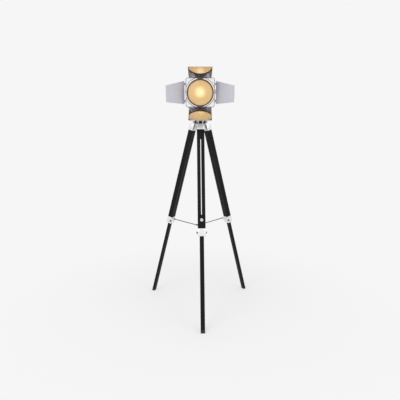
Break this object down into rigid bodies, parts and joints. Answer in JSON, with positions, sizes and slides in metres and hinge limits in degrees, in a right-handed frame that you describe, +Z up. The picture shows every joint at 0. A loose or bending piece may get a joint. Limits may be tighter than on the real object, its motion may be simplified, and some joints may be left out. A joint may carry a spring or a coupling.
{
  "type": "tripod floor lamp",
  "caption": "Tripod floor lamp with a drum-shaped spotlight head, a round frosted lens, hinged barn doors, a tilting yoke and folding telescoping legs.",
  "frame": {"origin": "on the floor, under the middle of the lamp's bounding box", "axes": "+Z up; the lens and the front leg face -Y; +X to the right of a viewer who faces the lens"},
  "size_m": [0.6687, 0.5931, 1.4731],
  "materials": {
    "black_iron": "satin black",
    "black_steel": "black oxide",
    "nickel": "polished nickel",
    "satin_nickel": "satin nickel",
    "door_nickel": "polished nickel inside, satin outside",
    "chrome": "polished",
    "steel": "plain",
    "aluminium": "satin",
    "bronze": "dark bronze",
    "black_plastic": "matte",
    "black_rubber": "matte",
    "black_wood": "satin black stain",
    "frosted_glass": "frosted",
    "bulb_glass": "opal",
    "ceramic": "glazed"
  },
  "bodies": {
    "stand": {"crown": "black_iron", "hinge_nuts": "black_steel"},
    "leg_front": {"leg_cap_front": "nickel", "upper_leg_front": "black_wood", "leg_clamp_front": "nickel"},
    "lower_front": {"lower_leg_front": "black_wood", "foot_pad_front": "black_rubber"},
    "rod_front": {"spreader_rod_front": "steel"},
    "hinge_knob_front": {"hinge_bolt_front": "steel"},
    "clamp_knob_front": {"clamp_bolt_front": "steel"},
    "lock_knob_front": {"lock_screw_front": "steel"},
    "leg_left": {"leg_cap_left": "nickel", "upper_leg_left": "black_wood", "leg_clamp_left": "nickel"},
    "lower_left": {"lower_leg_left": "black_wood", "foot_pad_left": "black_rubber"},
    "rod_left": {"spreader_rod_left": "steel"},
    "hinge_knob_left": {"hinge_bolt_left": "steel"},
    "clamp_knob_left": {"clamp_bolt_left": "steel"},
    "lock_knob_left": {"lock_screw_left": "steel"},
    "leg_right": {"leg_cap_right": "nickel", "upper_leg_right": "black_wood", "leg_clamp_right": "nickel"},
    "lower_right": {"lower_leg_right": "black_wood", "foot_pad_right": "black_rubber"},
    "rod_right": {"spreader_rod_right": "steel"},
    "hinge_knob_right": {"hinge_bolt_right": "steel"},
    "clamp_knob_right": {"clamp_bolt_right": "steel"},
    "lock_knob_right": {"lock_screw_right": "steel"},
    "spreader": {"spreader_hub": "nickel", "hub_screw": "nickel"},
    "yoke": {"yoke": "satin_nickel", "pan_post": "nickel"},
    "pan_lock": {"pan_knob": "black_plastic"},
    "head": {"face_plate": "chrome", "housing_shell": "satin_nickel", "plate_screws": "steel", "rear_cap": "satin_nickel", "rear_screws": "steel", "cable_bush": "black_rubber", "switch_body": "black_plastic", "lens_ring": "bronze", "lens": "frosted_glass", "lens_clip": "steel", "reflector": "aluminium", "bulb": "bulb_glass", "lamp_holder": "ceramic", "holder_bracket": "steel", "door_hinge_clips": "nickel", "tilt_screw": "nickel"},
    "tilt_lock": {"tilt_knob": "black_plastic"},
    "switch": {"switch_knob": "black_plastic"},
    "door_top": {"door_top": "door_nickel", "door_leaves_top": "steel"},
    "door_bottom": {"door_bottom": "door_nickel", "door_leaves_bottom": "steel"},
    "door_left": {"door_left": "door_nickel", "door_leaves_left": "steel"},
    "door_right": {"door_right": "door_nickel", "door_leaves_right": "steel"}
  },
  "joints": [
    {"name": "leg_fold_front", "type": "hinge", "parent": "stand", "child": "leg_front", "pos_m": [0.00936, 0.04301, 1.181], "axis": [0.9992, 0.041, 0], "range_deg": [0, 15.5]},
    {"name": "rod_turn_front", "type": "hinge", "parent": "leg_front", "child": "rod_front", "pos_m": [0.01543, -0.10482, 0.53712], "axis": [-0.9992, -0.041, 0], "range_deg": [0, 100.39]},
    {"name": "leg_slide_front", "type": "slide", "parent": "leg_front", "child": "lower_front", "axis": [-0.011, 0.267, 0.9636], "range_m": [0, 0.45]},
    {"name": "hinge_knob_turn_front", "type": "hinge", "parent": "stand", "child": "hinge_knob_front", "pos_m": [0.00936, 0.04301, 1.181], "axis": [0.9992, 0.041, 0], "continuous": true},
    {"name": "clamp_knob_turn_front", "type": "hinge", "parent": "leg_front", "child": "clamp_knob_front", "pos_m": [0.01626, -0.1251, 0.52511], "axis": [0.9992, 0.041, 0], "continuous": true},
    {"name": "lock_knob_turn_front", "type": "hinge", "parent": "leg_front", "child": "lock_knob_front", "pos_m": [0.01657, -0.13271, 0.60298], "axis": [0.0395, -0.9628, 0.2672], "continuous": true},
    {"name": "leg_fold_left", "type": "hinge", "parent": "stand", "child": "leg_left", "pos_m": [-0.03049, 0.10593, 1.181], "axis": [-0.4641, -0.8858, 0], "range_deg": [0, 15.5]},
    {"name": "rod_turn_left", "type": "hinge", "parent": "leg_left", "child": "rod_left", "pos_m": [-0.16155, 0.17459, 0.53712], "axis": [0.4641, 0.8858, 0], "range_deg": [0, 100.39]},
    {"name": "leg_slide_left", "type": "slide", "parent": "leg_left", "child": "lower_left", "axis": [0.2367, -0.124, 0.9636], "range_m": [0, 0.45]},
    {"name": "hinge_knob_turn_left", "type": "hinge", "parent": "stand", "child": "hinge_knob_left", "pos_m": [-0.03049, 0.10593, 1.181], "axis": [-0.4641, -0.8858, 0], "continuous": true},
    {"name": "clamp_knob_turn_left", "type": "hinge", "parent": "leg_left", "child": "clamp_knob_left", "pos_m": [-0.17953, 0.18401, 0.52511], "axis": [-0.4641, -0.8858, 0], "continuous": true},
    {"name": "lock_knob_turn_left", "type": "hinge", "parent": "leg_left", "child": "lock_knob_left", "pos_m": [-0.18627, 0.18754, 0.60298], "axis": [-0.8536, 0.4472, 0.2672], "continuous": true},
    {"name": "leg_fold_right", "type": "hinge", "parent": "stand", "child": "leg_right", "pos_m": [0.04392, 0.10898, 1.181], "axis": [-0.5351, 0.8448, 0], "range_deg": [0, 15.5]},
    {"name": "rod_turn_right", "type": "hinge", "parent": "leg_right", "child": "rod_right", "pos_m": [0.16891, 0.18815, 0.53712], "axis": [0.5351, -0.8448, 0], "range_deg": [0, 100.39]},
    {"name": "leg_slide_right", "type": "slide", "parent": "leg_right", "child": "lower_right", "axis": [-0.2258, -0.143, 0.9636], "range_m": [0, 0.45]},
    {"name": "hinge_knob_turn_right", "type": "hinge", "parent": "stand", "child": "hinge_knob_right", "pos_m": [0.04392, 0.10898, 1.181], "axis": [-0.5351, 0.8448, 0], "continuous": true},
    {"name": "clamp_knob_turn_right", "type": "hinge", "parent": "leg_right", "child": "clamp_knob_right", "pos_m": [0.18606, 0.19901, 0.52511], "axis": [-0.5351, 0.8448, 0], "continuous": true},
    {"name": "lock_knob_turn_right", "type": "hinge", "parent": "leg_right", "child": "lock_knob_right", "pos_m": [0.19249, 0.20309, 0.60298], "axis": [0.8141, 0.5156, 0.2672], "continuous": true},
    {"name": "hub_slide", "type": "slide", "parent": "stand", "child": "spreader", "axis": [0, 0, -1], "range_m": [0, 0.17036]},
    {"name": "pan", "type": "hinge", "parent": "stand", "child": "yoke", "pos_m": [0.0076, 0.08597, 1.206], "axis": [0, 0, 1], "range_deg": [-170, 170]},
    {"name": "pan_knob_turn", "type": "hinge", "parent": "stand", "child": "pan_lock", "pos_m": [0.0076, 0.11597, 1.1905], "axis": [0, 1, 0], "continuous": true},
    {"name": "tilt", "type": "hinge", "parent": "yoke", "child": "head", "pos_m": [0.0076, 0.08597, 1.366], "axis": [1, 0, 0], "range_deg": [-60, 12]},
    {"name": "tilt_knob_turn", "type": "hinge", "parent": "head", "child": "tilt_lock", "pos_m": [0.1026, 0.08597, 1.366], "axis": [1, 0, 0], "continuous": true},
    {"name": "switch_turn", "type": "hinge", "parent": "head", "child": "switch", "pos_m": [0.0076, 0.14853, 1.43725], "axis": [0, 0.9816, 0.1908], "range_deg": [0, 90]},
    {"name": "door_swing_top", "type": "hinge", "parent": "head", "child": "door_top", "pos_m": [0.0076, -0.01376, 1.43626], "axis": [1, 0, 0], "range_deg": [-64, 26]},
    {"name": "door_swing_bottom", "type": "hinge", "parent": "head", "child": "door_bottom", "pos_m": [0.0076, 0.01982, 1.26349], "axis": [-1, 0, 0], "range_deg": [-34, 26]},
    {"name": "door_swing_left", "type": "hinge", "parent": "head", "child": "door_left", "pos_m": [-0.0844, 0.00941, 1.35112], "axis": [0, -0.1908, 0.9816], "range_deg": [-46, 44]},
    {"name": "door_swing_right", "type": "hinge", "parent": "head", "child": "door_right", "pos_m": [0.0996, 0.00941, 1.35112], "axis": [0, 0.1908, -0.9816], "range_deg": [-46, 44]}
  ],
  "couplings": [
    {"joint": "rod_turn_front", "follows": "leg_fold_front", "ratio": 6.4764},
    {"joint": "leg_fold_left", "follows": "leg_fold_front", "ratio": 1},
    {"joint": "rod_turn_left", "follows": "leg_fold_front", "ratio": 6.4764},
    {"joint": "leg_fold_right", "follows": "leg_fold_front", "ratio": 1},
    {"joint": "rod_turn_right", "follows": "leg_fold_front", "ratio": 6.4764},
    {"joint": "hub_slide", "follows": "leg_fold_front", "m_per_rad": 0.62901}
  ]
}
